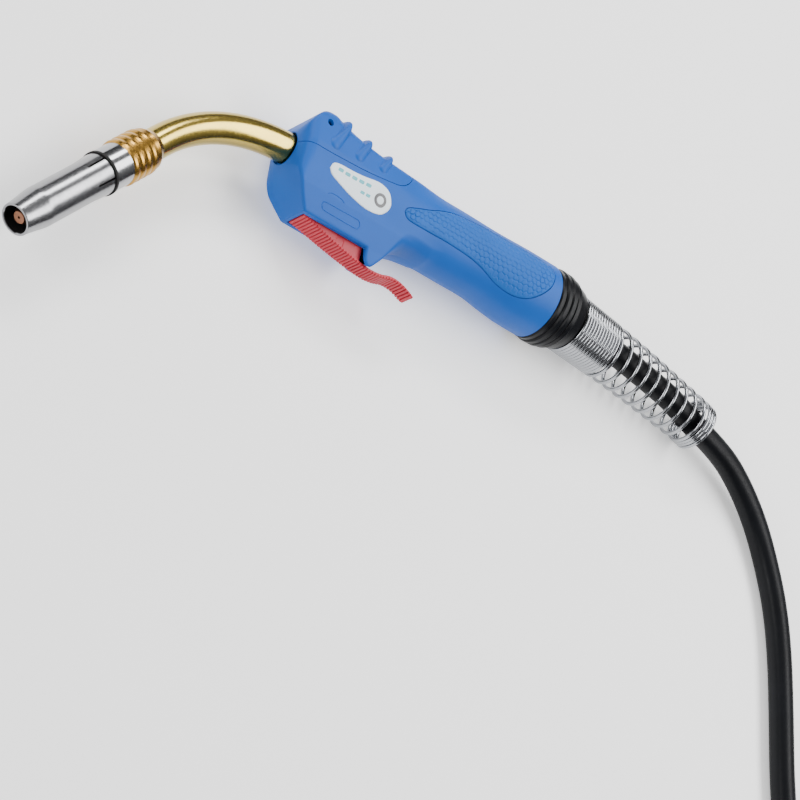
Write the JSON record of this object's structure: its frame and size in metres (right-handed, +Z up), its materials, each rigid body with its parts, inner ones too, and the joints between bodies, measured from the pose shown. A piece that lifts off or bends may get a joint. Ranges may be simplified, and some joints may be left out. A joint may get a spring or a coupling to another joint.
{
  "type": "mig_mag_welding_torch",
  "caption": "Gas-cooled MIG/MAG welding torch lying on its side: swan neck, blue handle, red trigger, support spring, coiled cable and central connector",
  "frame": {"origin": "The middle of the torch, without its free cable, on the bench that it lies on", "axes": "+Z up from the bench; +X along the handle, from the nozzle end towards the cable; +Y across, from the trigger side to the back of the handle"},
  "size_m": [0.551, 0.4362, 0.047],
  "materials": {
    "nozzle_plate": "plated, warm, satin",
    "sleeve_chrome": "bright plated",
    "insulator": "matt",
    "brass_ribs": "satin",
    "diffuser_ceramic": "matt ceramic",
    "brass": "machined",
    "copper": "machined copper alloy",
    "neck_brass": "polished",
    "liner_steel": "wound",
    "blue_handle": "fine eroded texture",
    "screw_steel": "blackened",
    "blue_pad": "soft, hammered texture",
    "white_plate": "satin",
    "black_collar": "satin",
    "red_trigger": "satin",
    "switch_black": "matt",
    "wire_jacket": "matt",
    "spring_chrome": "bright wire",
    "cable_rubber": "satin jacket",
    "boot_rubber": "matt",
    "connector_black": "glass-filled nylon"
  },
  "bodies": {
    "torch": {"nozzle_seat_sleeve": "sleeve_chrome", "insulating_sleeve": "insulator", "neck_rib_collar": "brass_ribs", "gas_diffuser": "diffuser_ceramic", "tip_holder": "brass", "inner_conductor": "copper", "contact_tip": "copper", "swan_neck": "neck_brass", "wire_liner": "liner_steel", "neck_clamp_nut": "brass", "cable_end_fitting": "brass", "handle_body": "blue_handle", "handle_top_cover": "blue_handle", "cover_screw": "screw_steel", "grip_pad_left": "blue_pad", "grip_pad_right": "blue_pad", "name_plate_left": "white_plate", "name_plate_right": "white_plate", "rear_collar": "black_collar", "spring_ferrule": "liner_steel", "trigger_pivot_pin": "screw_steel", "trigger_return_spring": "liner_steel", "switch_body": "switch_black", "switch_terminals": "brass", "control_wires": "wire_jacket", "support_spring": "spring_chrome", "cable_in_handle": "cable_rubber", "cable_run": "cable_rubber", "cable_coil": "cable_rubber", "cable_tail": "cable_rubber", "connector_boot": "boot_rubber", "connector_shell_upper": "connector_black", "connector_shell_lower": "connector_black", "connector_plug": "brass", "gas_nipple": "brass", "nipple_o_ring": "boot_rubber", "control_pins": "brass"},
    "trigger": {"trigger": "red_trigger"},
    "switch_plunger": {"switch_plunger": "red_trigger"},
    "gas_nozzle": {"gas_nozzle": "nozzle_plate"},
    "connector_hand_nut": {"connector_hand_nut": "connector_black"}
  },
  "joints": [
    {"name": "trigger_squeeze", "type": "hinge", "parent": "torch", "child": "trigger", "pos_m": [-0.0628, 0.01391, 0.02], "axis": [0, 0, 1], "range_deg": [0, 5], "stiffness_Nm_per_rad": 0.25, "springref_deg": -17.19, "deforming": ["trigger_return_spring"]},
    {"name": "plunger_travel", "type": "slide", "parent": "torch", "child": "switch_plunger", "axis": [0, 1, 0], "range_m": [0, 0.0018]},
    {"name": "nozzle_pull_off", "type": "slide", "parent": "torch", "child": "gas_nozzle", "axis": [-0.6428, -0.766, 0], "range_m": [0, 0.016]},
    {"name": "hand_nut_turn", "type": "hinge", "parent": "torch", "child": "connector_hand_nut", "pos_m": [0.06216, -0.31005, 0.0236], "axis": [-0.9487, 0.3162, 0], "continuous": true}
  ],
  "couplings": [
    {"joint": "plunger_travel", "follows": "trigger_squeeze", "m_per_rad": 0.0195}
  ]
}
